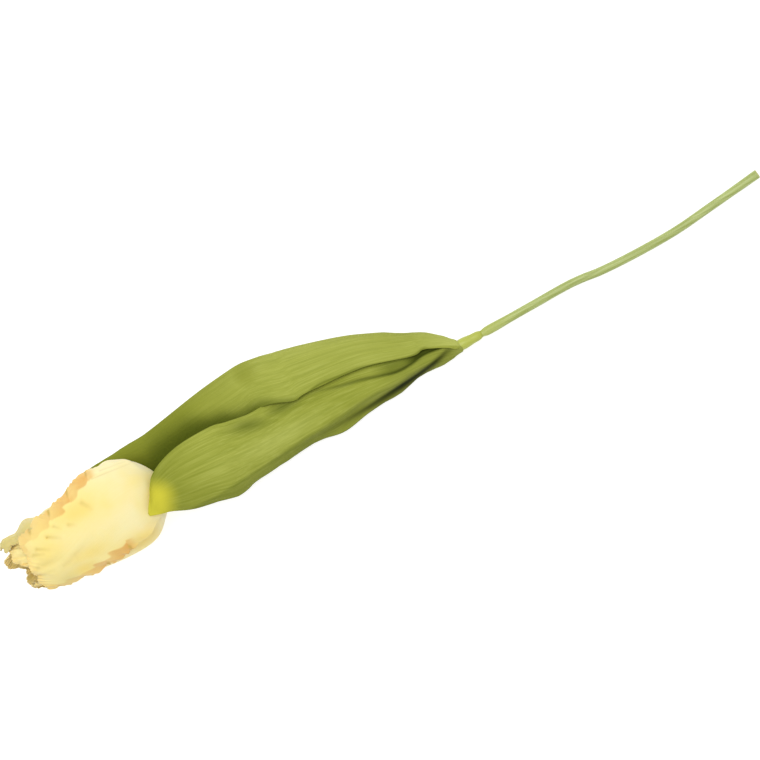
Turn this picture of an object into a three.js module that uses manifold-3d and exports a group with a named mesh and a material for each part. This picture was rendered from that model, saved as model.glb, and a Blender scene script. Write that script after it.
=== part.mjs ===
// A cut fringed tulip that lies on a table: one stem, two clasping leaves and a closed bloom of six
// fringed, ruffled petals, with the stamens and the pistil inside.
// Millimetres, +Z up. The stem runs along X, with the bloom at -X and the cut end at +X.
import * as THREE from "three";
import { mergeVertices } from "three/addons/utils/BufferGeometryUtils.js";
import Module from "manifold-3d";

const wasm = await Module();
wasm.setup();

const vectors = (points) => points.map((p) => new THREE.Vector3(...p));

// Driving dimensions
const STEM_RADIUS = 2.5;
const STEM_SIDES = 12;
const STEM_STEPS = 44;
const CLEARANCE = 0.3; // between pieces that touch
const PETAL_THICKNESS = 0.8;
const LEAF_THICKNESS = 0.9;
const TABLE = 0; // height of the surface that everything lies on

// The stem's centre line, from the receptacle to the cut end, which lies on the table.
const STEM_ROUTE = vectors([
  [-146.4, -4.8, 26.4],
  [-134, -4.4, 25],
  [-118, -4, 23],
  [-100, -4.3, 21],
  [-50, -7, 15.8],
  [0, -10, 11.3],
  [48, -10.9, 8],
  [97, -9.2, 5],
  [128, -8.3, 3.7],
  [160, -9.6, 2.9],
  [190, -8.1, 2.4],
  [217, -4.8, 2.3],
  [250, -0.2, 2.3],
]);

// The sheath of the rear leaf, a sleeve round the stem. It narrows towards the stem's cut end.
const SHEATH_BLOOM_X = 45.6;
const SHEATH_ROOT_X = 60;
const SHEATH_RADIUS = 3.6;
const SHEATH_ROOT_RADIUS = 3.3;
const SHEATH_SIDES = 24;

// The rear leaf, one line of points across the blade after another, from the sheath to the tip.
// Each line runs from the margin beside the front leaf to the margin on the table.
const REAR_LEAF = [
  [[50, -12.8, 10.8], [50, -11.2, 11.4], [50, -9.6, 11.2],
    [50, -8.2, 10.3], [50, -7.4, 8.9], [50, -7.4, 7.2]],
  [[46, -12.5, 12.6], [46, -10.6, 13], [46, -8.6, 12.6], [46, -7, 11.3], [46, -6.2, 9.6], [46, -5.9, 7.6]],
  [[40, -9.6, 14.2], [40, -6.8, 13.8], [40, -4.4, 12.4],
    [40, -2.6, 10.4], [40, -1.7, 8.1], [40, -2, 5.9]],
  [[33, -6.2, 15.4], [33, -3.5, 14.9], [33, -0.6, 13.2], [33, 1.8, 10.8], [33, 3.5, 8.2], [33, 4.4, 5.6]],
  [[18, -4.2, 17.6], [18, 0.2, 17], [18, 4.6, 14.8], [18, 8.4, 11.4], [18, 10.8, 7.6], [18, 11.8, 4.4]],
  [[-10, 2.8, 20], [-10, 8.4, 18.8], [-10, 14, 16.4], [-10, 19, 12.2], [-10, 22.4, 7.4], [-10, 24, 3]],
  [[-45, 4.6, 23.6], [-45, 11, 21.6], [-45, 18, 18.4],
    [-45, 25, 13.6], [-45, 30.4, 7.4], [-45, 33.6, 1.2]],
  [[-55, 3.7, 23.6], [-55, 10.6, 21.4], [-55, 18, 18.2],
    [-55, 25.8, 13.4], [-55, 31.8, 7], [-55, 35.4, 0.8]],
  [[-66, 7.4, 22.6], [-66, 13, 20.8], [-66, 20.2, 17.8],
    [-66, 27.6, 13], [-66, 33.2, 6.6], [-66, 37, 0.4]],
  [[-75, 10.1, 20.2], [-75, 14.6, 19.4], [-75, 21.4, 16.8],
    [-75, 28.2, 12.4], [-75, 33.8, 6], [-75, 37.8, 0.3]],
  [[-84, 7, 13.6], [-84, 13, 15], [-84, 20, 15], [-84, 27, 11.8], [-84, 32.8, 5.8], [-84, 37, 0.2]],
  [[-105, 4, 6], [-105, 11, 8.4], [-105, 18, 10.2], [-105, 24.6, 9.6], [-105, 30, 5.4], [-105, 33.8, 0.2]],
  [[-138, 1.5, 1.6], [-138, 8, 3.2], [-138, 14.4, 5.2],
    [-138, 19.2, 5.6], [-138, 23.6, 3.4], [-138, 27, 0.4]],
  [[-150, 1.8, 0.8], [-150, 8, 2], [-150, 14, 3.8],
    [-150, 18, 4.2], [-150, 22, 2.8], [-150, 25.4, 0.4]],
  [[-174, 16.4, 1.2], [-174, 18, 1.6], [-174, 19.6, 2.1],
    [-174, 21.2, 2.1], [-174, 22.9, 1.4], [-174, 24.6, 0.5]],
  [[-189, 20.8, 1], [-189, 21.1, 1], [-189, 21.4, 0.9],
    [-189, 21.7, 0.9], [-189, 22, 0.8], [-189, 22.3, 0.8]],
];
// The front leaf, from the margin under the rear leaf, across a valley and over the stem, down to
// the lower margin. It arches up to the bloom and its tip lies over the bloom's shoulder.
const FRONT_LEAF = [
  [[45, -10.5, 11.7], [45, -12.1, 11.6], [45, -13.5, 10.8], [45, -14.7, 9.4],
    [45, -15.1, 7.7], [45, -14.5, 6.1], [45, -13.2, 5]],
  [[30, -4.2, 12], [30, -6.8, 12.6], [30, -9, 13], [30, -11, 13.4],
    [30, -13.4, 12], [30, -15.6, 8.6], [30, -16.8, 5]],
  [[8, 2.2, 13.6], [8, -3, 15.2], [8, -7.8, 14.6], [8, -10.3, 15.6],
    [8, -13, 14], [8, -15.4, 8], [8, -18.6, 4.2]],
  [[-18, 8.2, 15.8], [-18, 2, 17.4], [-18, -3, 17], [-18, -9, 18.3],
    [-18, -14, 16.8], [-18, -17, 10], [-18, -22.2, 5.5]],
  [[-36, 9.2, 16.8], [-36, 3.2, 18.6], [-36, -1.8, 18.8], [-36, -9, 20.2],
    [-36, -16.2, 18.6], [-36, -19.8, 12], [-36, -25.6, 7.4]],
  [[-50, 9.6, 17.6], [-50, 4, 19.6], [-50, -1, 20.2], [-50, -9, 21.4],
    [-50, -17.5, 19.5], [-50, -21, 13], [-50, -24, 8]],
  [[-66, 9.6, 18.4], [-66, 4, 21], [-66, -1.5, 22.2], [-66, -9.6, 23],
    [-66, -18.3, 20.3], [-66, -22.2, 14.5], [-66, -24.4, 9.8]],
  [[-75, 9.2, 20.6], [-75, 4, 22.6], [-75, -1.8, 23.8], [-75, -9.8, 24.4],
    [-75, -18.7, 21], [-75, -23, 15.5], [-75, -25.9, 10.9]],
  [[-84, 9.2, 22.6], [-84, 4, 24.2], [-84, -2, 25.4], [-84, -10, 25.8],
    [-84, -19.2, 22], [-84, -23.8, 17], [-84, -26.9, 12.4]],
  [[-97, 11.7, 23.6], [-97, 5.4, 26], [-97, -1, 27.8], [-97, -9.6, 28],
    [-97, -19, 24.2], [-97, -24.6, 18.8], [-97, -27.8, 14.2]],
  [[-108, 13.3, 25], [-108, 7, 28.2], [-108, 0, 30.3], [-108, -9, 30.2],
    [-108, -19, 26.6], [-108, -26, 21], [-108, -30.4, 16]],
  [[-131, 11.2, 31], [-132, 6, 34], [-133, 0, 36], [-134, -8, 36.6],
    [-135, -16, 34.5], [-135, -23, 30], [-134, -27.2, 25]],
  [[-148.6, 3, 43.6], [-150, -0.6, 45], [-151, -4.6, 45.9], [-152, -9, 46.3],
    [-152, -14, 45.4], [-151, -18.6, 42.6], [-148.6, -22, 38]],
  [[-155.6, -8, 51], [-156.8, -10, 51.4], [-157.6, -12, 51.5], [-158.2, -14.2, 51.3],
    [-158.2, -16.4, 50.6], [-157.4, -18.4, 49.4], [-155.6, -20.2, 47.4]],
  [[-161, -16.4, 52], [-161.1, -16.8, 52], [-161.2, -17.1, 51.9], [-161.2, -17.5, 51.8],
    [-161.2, -17.8, 51.6], [-161.1, -18.2, 51.4], [-161, -18.6, 51.2]],
];
const LEAF_ROWS = 34;
const LEAF_COLUMNS = 9;

// The bloom: the straight axis of its cup, and the cups of both whorls as points of [along, radius].
const BLOOM_BASE = new THREE.Vector3(-147, -4.8, 26.4);
const BLOOM_MOUTH = new THREE.Vector3(-250, -11.8, 25.6);
const OUTER_CUP = [
  [-0.5, 3.7], [0.8, 9], [4.5, 15.6], [9.5, 21.2], [16, 25.2], [25, 27.2], [38, 27], [53, 25.2], [67, 23.4],
  [81, 21.4], [92, 18], [100, 15], [108, 12],
];
const INNER_CUP = [
  [2.3, 3.5], [4.4, 9], [9, 15.6], [15, 19.4], [25, 21.6], [38, 21.6], [53, 20.6], [67, 19.4], [81, 17.2],
  [92, 14], [100, 11.4], [108, 9],
];
const TWIST = 43; // degrees that the petals' centre lines turn about the axis
const TWIST_ZONE = [15, 95]; // along the axis

// Half a petal's angle about the axis in degrees, at even steps from its foot to its end
const OUTER_SPAN = [46, 50, 57, 62, 63, 63, 62, 61, 58, 52, 45];
const INNER_SPAN = [40, 43, 49, 53, 54, 54, 53, 52, 50, 45, 39];
const FRONT_LEFT_SPAN = [46, 50, 60, 68, 74, 73, 72, 73, 76, 80, 74];
const BESIDE_FRONT_SPAN = [46, 50, 57, 62, 63, 62, 57, 50, 42, 36, 36];
const UNDER_FRONT_SPAN = [40, 43, 49, 53, 54, 54, 53, 53, 54, 54, 50];

// How far a side margin stands out from the cup at least and at most as it ruffles
const OVER = [0.8, 3];
const TUCKED = [-1.4, -0.4];
const LEVEL = [-0.7, 0.7];

// Each petal: the angle of its foot about the axis, with 0 at +Y and 90 straight up, its length along
// the cup and its random seed. What is given in pairs is for its left side, towards the lower angles,
// and its right side: the spans, the margins, how far the lobes flare out more, how far the end leans
// out, the part of its length by which the side falls short of the tip, and where its lobes start, as a
// part of one lobe.
const BOTH_ROUND = [0.09, 0.09];
const OUTER = {
  cup: OUTER_CUP, spans: [OUTER_SPAN, OUTER_SPAN], flares: [0, 0], leans: [0, 0], rounding: BOTH_ROUND,
};
const INNER = {
  cup: INNER_CUP, spans: [INNER_SPAN, INNER_SPAN], flares: [0, 0], leans: [0, 0], rounding: BOTH_ROUND,
  margins: [LEVEL, LEVEL],
};
const PETALS = [
  {
    ...OUTER, name: "petal_outer_1", angle: 78, reach: 104, margins: [OVER, OVER], flares: [2.8, 1.2],
    spans: [FRONT_LEFT_SPAN, OUTER_SPAN], rounding: [0.03, 0.03], lobes: [0.87, 0.03], seed: 11,
  },
  {
    ...OUTER, name: "petal_outer_2", angle: -34, reach: 114.5, margins: [LEVEL, TUCKED], flares: [2, 0],
    spans: [OUTER_SPAN, BESIDE_FRONT_SPAN], rounding: [0.09, 0.03], leans: [2, 0.9],
    lobes: [0.2, 0.6], seed: 23,
  },
  {
    ...OUTER, name: "petal_outer_3", angle: 190, reach: 111, margins: [TUCKED, LEVEL], flares: [0, 2],
    lobes: [0.5, 0.1], seed: 37,
  },
  {
    ...INNER, name: "petal_inner_1", angle: 18, reach: 105, spans: [UNDER_FRONT_SPAN, INNER_SPAN],
    leans: [2.2, 0], lobes: [0.3, 0.8], seed: 41,
  },
  { ...INNER, name: "petal_inner_2", angle: 138, reach: 103, lobes: [0.7, 0.4], seed: 59 },
  { ...INNER, name: "petal_inner_3", angle: 258, reach: 111, lobes: [0.1, 0.5], seed: 67 },
];
const PETAL_ROWS = 32;
const PETAL_COLUMNS = 13;
const COLUMN_CROWDING = 0.75; // below 1 the columns are closer near a petal's side margins
const END_SQUARENESS = 2.4;
const END_RUFFLE = 1.2;
const LOBES_ALONG = 6.67; // of a side margin's whole length
const LOBES_ACROSS = 1.5; // of half a petal's end
const LOBE_HEIGHT = 1; // each way from the margin's line
const TOOTH_HEIGHT = 0.6; // of the fringe, each way from the lobe's line

// Where a petal's features grow to the full, as parts of its half width and of its length
const SIDE_ZONE = [0.4, 1];
const FLARE_WIDTH = [0.7, 1];
const STAND_OUT_ZONE = [0.05, 0.22];
const FRINGE_ZONE = [0.34, 0.48];
const FLARE_FROM = [0.42, 0.52];
const FLARE_TO = [0.84, 0.97];
const LEAN_WIDTH = [-0.4, 0.4];
const LEAN_ZONE = [0.6, 1];
const END_ZONE = [0.84, 1];

// The random waves of the ruffles: how many are added up, the least and the most of their number
// across half a petal and along a petal, and how far their sum is driven to its limits
const WAVES = 3;
const WAVES_ACROSS = [1.2, 2.8];
const WAVES_ALONG = [4, 9];
const WAVE_GAIN = 1.5;

// What the petals stand on and hide, as points of [along the bloom's axis, radius]
const RECEPTACLE = [[-9, 0], [-9, 1.6], [-6, 2.6], [-2, 3.2], [0, 3.4], [2.4, 3.2], [3, 2.2], [3, 0]];
const OVARY = [[3.3, 0], [3.3, 1.7], [5, 2.1], [9, 3.3], [22, 3.3], [29, 2.5], [31, 2.2], [31, 0]];
const STAMEN_RING = [[3.3, 2.1], [3.3, 3.4], [4.3, 3.4], [4.3, 2.3], [3.3, 2.1]];
const FILAMENT_FOOT = [3.8, 2.9];
const FILAMENT_TIP = [16, 6.2];
const STAMENS = 6;
const FIRST_STAMEN = 30; // degrees
const FILAMENT_FOOT_RADIUS = 0.8;
const FILAMENT_TIP_RADIUS = 0.5;
const ANTHER_LENGTH = 13;
const ANTHER_RADIUS = 1.3;
const ANTHER_OVERLAP = 1; // of the anther's lower end over the filament's tip
const STIGMA_LOBES = 3;
const STIGMA_LOBE_HALVES = [1.5, 1.6, 2.9]; // across, up, outwards
const STIGMA_LOBE_OUT = 2.2;

const { clamp, degToRad, lerp, mapLinear, radToDeg, smoothstep } = THREE.MathUtils;
const UP = new THREE.Vector3(0, 0, 1);
const ALONG_Y = new THREE.Vector3(0, 1, 0); // the axis of three.js's turned bodies
const bloomAxis = BLOOM_MOUTH.clone().sub(BLOOM_BASE).normalize();
const bloomSide = UP.clone().cross(bloomAxis).negate().normalize();
const bloomUp = bloomAxis.clone().cross(bloomSide).negate();
const bloomMatrix = new THREE.Matrix4()
  .makeBasis(bloomUp.clone().negate(), bloomAxis, bloomSide)
  .setPosition(BLOOM_BASE);

const greenStem = new THREE.MeshStandardMaterial({ color: 0xaec078, roughness: 0.55, metalness: 0 });
const greenLeaf = new THREE.MeshStandardMaterial({ color: 0x8c9446, roughness: 0.6, metalness: 0 });
const creamPetal = new THREE.MeshStandardMaterial({ color: 0xfae69a, roughness: 0.65, metalness: 0 });
const paleGreenPistil = new THREE.MeshStandardMaterial({ color: 0xb9c77c, roughness: 0.6, metalness: 0 });
const darkStamen = new THREE.MeshStandardMaterial({ color: 0x6b5a34, roughness: 0.8, metalness: 0 });

// A seeded generator of numbers from 0 to 1
function seededRandom(seed) {
  let state = seed;
  return () => {
    state = (state * 1664525 + 1013904223) % 4294967296;
    return state / 4294967296;
  };
}

// The value at a place from 0 to 1 in a list of evenly spread values
function valueAlong(values, place) {
  const scaled = clamp(place, 0, 1) * (values.length - 1);
  const low = Math.min(Math.floor(scaled), values.length - 2);
  return lerp(values[low], values[low + 1], scaled - low);
}

const smoothCurve = (points) => new THREE.CatmullRomCurve3(points, false, "catmullrom", 0.5);

// A closed body from a grid of middle points, half its thickness laid on each face. Both faces have
// the same triangles, and neither goes below the table.
function bladeGeometry(rows, thickness) {
  const height = rows.length;
  const width = rows[0].length;
  const at = (i, j) => rows[clamp(i, 0, height - 1)][clamp(j, 0, width - 1)];
  for (const row of rows) {
    for (const point of row) point.z = Math.max(point.z, TABLE + thickness / 2);
  }
  const positions = [];
  for (const side of [0.5, -0.5]) {
    for (let i = 0; i < height; i++) {
      for (let j = 0; j < width; j++) {
        const along = at(i + 1, j).clone().sub(at(i - 1, j));
        const across = at(i, j + 1).clone().sub(at(i, j - 1));
        const normal = along.cross(across).normalize();
        const point = at(i, j).clone().addScaledVector(normal, side * thickness);
        positions.push(point.x, point.y, Math.max(point.z, TABLE));
      }
    }
  }
  const index = [];
  const under = height * width;
  for (let i = 0; i < height - 1; i++) {
    for (let j = 0; j < width - 1; j++) {
      const a = i * width + j;
      const b = a + width;
      index.push(a, b, b + 1, a, b + 1, a + 1);
      index.push(under + a, under + b + 1, under + b, under + a, under + a + 1, under + b + 1);
    }
  }
  const rim = [];
  for (let j = 0; j < width - 1; j++) rim.push(j);
  for (let i = 0; i < height - 1; i++) rim.push(i * width + width - 1);
  for (let j = width - 1; j > 0; j--) rim.push((height - 1) * width + j);
  for (let i = height - 1; i > 0; i--) rim.push(i * width);
  rim.forEach((a, k) => {
    const b = rim[(k + 1) % rim.length];
    index.push(a, b, under + b, a, under + b, under + a);
  });
  const geometry = new THREE.BufferGeometry();
  geometry.setAttribute("position", new THREE.Float32BufferAttribute(positions, 3));
  geometry.setIndex(index);
  return geometry;
}

// A three.js geometry as a manifold-3d solid, and a solid as a geometry
function toSolid(geometry) {
  const bare = geometry.clone();
  bare.deleteAttribute("normal");
  bare.deleteAttribute("uv");
  const merged = mergeVertices(bare, 1e-4);
  return new wasm.Manifold(
    new wasm.Mesh({
      numProp: 3,
      vertProperties: new Float32Array(merged.attributes.position.array),
      triVerts: new Uint32Array(merged.index.array),
    }),
  );
}

function toGeometry(solid) {
  const mesh = solid.getMesh();
  const geometry = new THREE.BufferGeometry();
  geometry.setAttribute("position", new THREE.Float32BufferAttribute(mesh.vertProperties, 3));
  geometry.setIndex(new THREE.BufferAttribute(mesh.triVerts, 1));
  return geometry;
}

// A round rod along a curve, clipped flat where it meets the table
function rodGeometry(curve, radius, sides, steps) {
  const circle = new THREE.Shape();
  for (let k = 0; k < sides; k++) {
    const angle = ((k + 0.5) * 2 * Math.PI) / sides;
    const point = [radius * Math.cos(angle), radius * Math.sin(angle)];
    if (k === 0) circle.moveTo(...point);
    else circle.lineTo(...point);
  }
  circle.closePath();
  const rod = new THREE.ExtrudeGeometry(circle, { steps, extrudePath: curve, curveSegments: 1 });
  const position = rod.attributes.position;
  for (let k = 0; k < position.count; k++) position.setZ(k, Math.max(position.getZ(k), TABLE));
  return rod;
}

// A turned body about the bloom's axis, from points of [along, radius]
function turnedGeometry(profile, sides) {
  const points = profile.map(([along, radius]) => new THREE.Vector2(radius, along));
  return new THREE.LatheGeometry(points, sides).applyMatrix4(bloomMatrix);
}

// A place in the bloom, by its distance along the axis, its radius and its angle in degrees
function bloomPoint(along, radius, angle) {
  return BLOOM_BASE.clone()
    .addScaledVector(bloomAxis, along)
    .addScaledVector(bloomSide, radius * Math.cos(degToRad(angle)))
    .addScaledVector(bloomUp, radius * Math.sin(degToRad(angle)));
}

function makeStem() {
  const rod = rodGeometry(new THREE.CatmullRomCurve3(STEM_ROUTE), STEM_RADIUS, STEM_SIDES, STEM_STEPS);
  return toGeometry(toSolid(rod).add(toSolid(turnedGeometry(RECEPTACLE, STEM_SIDES))));
}

// A leaf's grid of middle points, on smooth curves through its lines of points
function leafRows(lines) {
  const across = lines.map((line) => smoothCurve(vectors(line)));
  const columns = [];
  for (let j = 0; j < LEAF_COLUMNS; j++) {
    columns.push(smoothCurve(across.map((curve) => curve.getPoint(j / (LEAF_COLUMNS - 1)))));
  }
  const rows = [];
  for (let i = 0; i < LEAF_ROWS; i++) {
    rows.push(columns.map((curve) => curve.getPoint(i / (LEAF_ROWS - 1))));
  }
  return rows;
}

function makeRearLeaf() {
  const blade = toSolid(bladeGeometry(leafRows(REAR_LEAF), LEAF_THICKNESS));
  const route = new THREE.CatmullRomCurve3(STEM_ROUTE);
  const middleX = (SHEATH_BLOOM_X + SHEATH_ROOT_X) / 2;
  const half = (SHEATH_ROOT_X - SHEATH_BLOOM_X) / 2;
  const places = route.getPoints(2000);
  const middle = places.findIndex((point) => point.x > middleX);
  const turn = new THREE.Quaternion().setFromUnitVectors(ALONG_Y, route.getTangent(middle / places.length));
  const bore = STEM_RADIUS + CLEARANCE;
  const profile = [
    [bore, -half], [SHEATH_RADIUS, -half], [SHEATH_RADIUS, 0], [SHEATH_ROOT_RADIUS, half], [bore, half],
    [bore, -half],
  ].map(([radius, along]) => new THREE.Vector2(radius, along));
  const sleeve = new THREE.LatheGeometry(profile, SHEATH_SIDES)
    .applyQuaternion(turn)
    .translate(...places[middle].toArray());
  return toGeometry(blade.add(toSolid(sleeve)));
}

// Smooth random waves over a petal, from -1 to 1
function petalWaves(random) {
  const waves = [];
  for (let k = 0; k < WAVES; k++) {
    waves.push({
      across: lerp(...WAVES_ACROSS, random()),
      along: lerp(...WAVES_ALONG, random()),
      phase: 2 * Math.PI * random(),
    });
  }
  return (u, v) => {
    let sum = 0;
    for (const wave of waves) sum += Math.sin(2 * Math.PI * (wave.across * u + wave.along * v) + wave.phase);
    return clamp((WAVE_GAIN * sum) / WAVES, -1, 1);
  };
}

// The height of round lobes side by side with sharp creases between them, from 0 to 1
const lobed = (place) => Math.abs(Math.sin(Math.PI * place)) ** 0.7;

// A petal: a fringed, lobed and ruffled blade laid on its whorl's cup. Across the petal u runs from
// -1 at its left margin to 1, and v runs from 0 at its foot to 1 at its end.
function makePetal({ cup, angle, reach, spans, margins, flares, leans, rounding, lobes, seed }) {
  const ruffle = petalWaves(seededRandom(seed));
  const meridian = smoothCurve(cup.map(([along, radius]) => new THREE.Vector3(along, radius, 0)));
  const rows = [];
  for (let i = 0; i < PETAL_ROWS; i++) {
    const v = i / (PETAL_ROWS - 1);
    const row = [];
    for (let j = 0; j < PETAL_COLUMNS; j++) {
      const column = -1 + (2 * j) / (PETAL_COLUMNS - 1);
      const u = Math.sign(column) * Math.abs(column) ** COLUMN_CROWDING;
      const out = Math.abs(u);
      const side = u < 0 ? 0 : 1;
      const atSide = j === 0 || j === PETAL_COLUMNS - 1;
      const atEnd = i === PETAL_ROWS - 1;
      const sideLobe = lobed(v * LOBES_ALONG + lobes[side]);
      const lobe = atEnd ? lobed(u * LOBES_ACROSS + lobes[0]) : sideLobe;
      const tooth = (i + j) % 2 ? TOOTH_HEIGHT : -TOOTH_HEIGHT;
      const fringe = smoothstep(v, ...FRINGE_ZONE) * (LOBE_HEIGHT * (2 * lobe - 1) + tooth);
      const length = reach * (1 - rounding[side] * out ** END_SQUARENESS);
      const place = meridian.getPointAt((v * length + (atEnd ? fringe : 0)) / meridian.getLength());
      const sideShare = smoothstep(out, ...SIDE_ZONE);
      const standOut = sideShare * smoothstep(v, ...STAND_OUT_ZONE) *
        mapLinear(ruffle(u, v), -1, 1, ...margins[side]);
      const endRuffle = (1 - sideShare) * smoothstep(v, ...END_ZONE) * END_RUFFLE * ruffle(u, v);
      const flare = flares[side] * sideLobe * smoothstep(out, ...FLARE_WIDTH) *
        smoothstep(v, ...FLARE_FROM) * (1 - smoothstep(v, ...FLARE_TO));
      const lean = mapLinear(clamp(u, ...LEAN_WIDTH), ...LEAN_WIDTH, ...leans) * smoothstep(v, ...LEAN_ZONE);
      const radius = place.y + standOut + endRuffle + flare + lean;
      const turned = angle + TWIST * smoothstep(place.x, ...TWIST_ZONE);
      const spread = u * valueAlong(spans[side], v) + (atSide ? radToDeg((u * fringe) / place.y) : 0);
      row.push(bloomPoint(place.x, radius, turned + spread));
    }
    rows.push(row);
  }
  return bladeGeometry(rows, PETAL_THICKNESS);
}

function makePistil() {
  let pistil = toSolid(turnedGeometry(OVARY, 12));
  const [top] = OVARY.at(-1);
  for (let k = 0; k < STIGMA_LOBES; k++) {
    const lobe = new THREE.SphereGeometry(1, 10, 6)
      .scale(...STIGMA_LOBE_HALVES)
      .translate(0, top, STIGMA_LOBE_OUT)
      .rotateY((2 * Math.PI * k) / STIGMA_LOBES)
      .applyMatrix4(bloomMatrix);
    pistil = pistil.add(toSolid(lobe));
  }
  return toGeometry(pistil);
}

function makeStamens() {
  let stamens = toSolid(turnedGeometry(STAMEN_RING, 24));
  for (let k = 0; k < STAMENS; k++) {
    const angle = FIRST_STAMEN + (360 * k) / STAMENS;
    const foot = bloomPoint(...FILAMENT_FOOT, angle);
    const tip = bloomPoint(...FILAMENT_TIP, angle);
    const direction = tip.clone().sub(foot).normalize();
    const turn = new THREE.Quaternion().setFromUnitVectors(ALONG_Y, direction);
    const middle = foot.clone().lerp(tip, 0.5);
    const length = foot.distanceTo(tip);
    const filament = new THREE.CylinderGeometry(FILAMENT_TIP_RADIUS, FILAMENT_FOOT_RADIUS, length, 6)
      .applyQuaternion(turn)
      .translate(...middle.toArray());
    const anther = new THREE.CapsuleGeometry(ANTHER_RADIUS, ANTHER_LENGTH - 2 * ANTHER_RADIUS, 3, 8)
      .translate(0, ANTHER_LENGTH / 2 - ANTHER_OVERLAP, 0)
      .applyQuaternion(turn)
      .translate(...tip.toArray());
    stamens = stamens.add(toSolid(filament)).add(toSolid(anther));
  }
  return toGeometry(stamens);
}

// The tulip, moved so that its box is centred over the origin
const tulip = new THREE.Group();
function addPiece(name, geometry, material) {
  const piece = new THREE.Mesh(geometry, material);
  piece.name = name;
  tulip.add(piece);
}
addPiece("stem", makeStem(), greenStem);
addPiece("leaf_rear", makeRearLeaf(), greenLeaf);
addPiece("leaf_front", bladeGeometry(leafRows(FRONT_LEAF), LEAF_THICKNESS), greenLeaf);
for (const petal of PETALS) addPiece(petal.name, makePetal(petal), creamPetal);
addPiece("pistil", makePistil(), paleGreenPistil);
addPiece("stamens", makeStamens(), darkStamen);

const box = new THREE.Box3().setFromObject(tulip);
const centre = box.getCenter(new THREE.Vector3());
tulip.position.set(-centre.x, -centre.y, -box.min.z);

export default tulip;
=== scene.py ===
import bpy
import numpy as np
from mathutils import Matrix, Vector


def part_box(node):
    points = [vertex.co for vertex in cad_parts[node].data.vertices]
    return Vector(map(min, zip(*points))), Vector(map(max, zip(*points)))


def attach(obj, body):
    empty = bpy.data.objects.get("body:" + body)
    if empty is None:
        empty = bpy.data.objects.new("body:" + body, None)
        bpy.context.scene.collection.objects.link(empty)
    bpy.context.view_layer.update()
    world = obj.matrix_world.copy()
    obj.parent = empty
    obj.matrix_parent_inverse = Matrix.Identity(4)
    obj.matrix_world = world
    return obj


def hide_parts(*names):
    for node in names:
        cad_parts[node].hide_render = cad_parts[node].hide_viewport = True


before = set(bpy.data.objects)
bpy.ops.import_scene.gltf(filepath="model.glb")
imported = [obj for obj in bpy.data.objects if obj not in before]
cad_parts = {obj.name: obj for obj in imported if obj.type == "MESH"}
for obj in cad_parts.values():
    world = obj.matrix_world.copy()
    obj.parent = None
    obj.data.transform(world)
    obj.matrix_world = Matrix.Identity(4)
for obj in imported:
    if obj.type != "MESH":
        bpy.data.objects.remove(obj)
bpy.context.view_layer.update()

MM = 0.001
TABLE = 0.1  # mm, the lowest that a visible face goes, just clear of the floor

# The stem's highest x and y before the part was centred, which gives the part's shift onto the frame
STEM_CORNER = np.array([250.333, 2.197])
stem_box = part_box("stem")
SHIFT = np.array([stem_box[1].x / MM - STEM_CORNER[0], stem_box[1].y / MM - STEM_CORNER[1], 0.0])


def section(x, *points):
    """A line across a leaf at one x, from the y and z of its points"""
    return [(x, y, z) for y, z in points]


# The main forms, close to the solids'. Lengths are in millimetres and angles in degrees.
STEM_RADIUS = 2.5
STEM_ROUTE = [
    (-146.4, -4.8, 26.4), (-134, -4.4, 25), (-118, -4, 23), (-100, -4.3, 21), (-50, -7, 15.8),
    (0, -10, 11.3), (48, -11.3, 8), (97, -9.4, 5), (120, -8.35, 4), (130, -8.7, 3.65),
    (140, -9.65, 3.4), (160, -9.9, 2.9), (190, -8.6, 2.4), (217, -5, 2.3), (250, -0.2, 2.3),
]

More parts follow.
